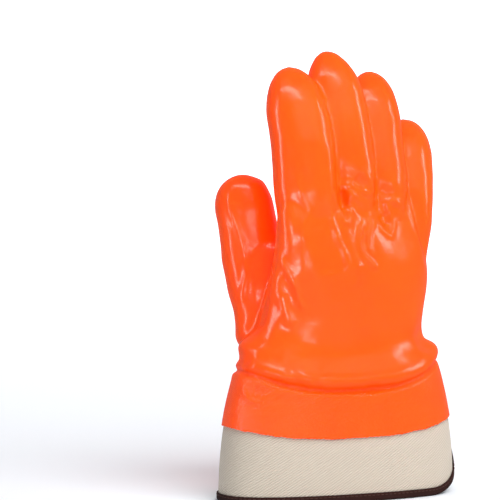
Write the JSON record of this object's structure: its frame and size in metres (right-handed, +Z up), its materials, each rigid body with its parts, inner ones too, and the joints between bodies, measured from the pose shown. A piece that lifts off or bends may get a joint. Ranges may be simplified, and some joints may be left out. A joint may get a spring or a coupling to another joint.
{
  "type": "work glove",
  "caption": "Fluorescent orange PVC coated work glove for the right hand, standing upright on its stiff canvas safety cuff with a bound side slit.",
  "frame": {"origin": "middle of the footprint on the surface that the cuff stands on", "axes": "+Z up from the cuff's rim to the fingertips, -Y towards the back of the hand, -X towards the thumb"},
  "size_m": [0.1534, 0.0836, 0.2723],
  "materials": {
    "coat": "glossy PVC dip over a knitted liner",
    "canvas": "stiff woven twill canvas",
    "binding": "folded woven tape"
  },
  "bodies": {
    "root": {"pvc_coat": "coat", "cuff_canvas": "canvas", "cuff_binding": "binding"}
  },
  "joints": []
}
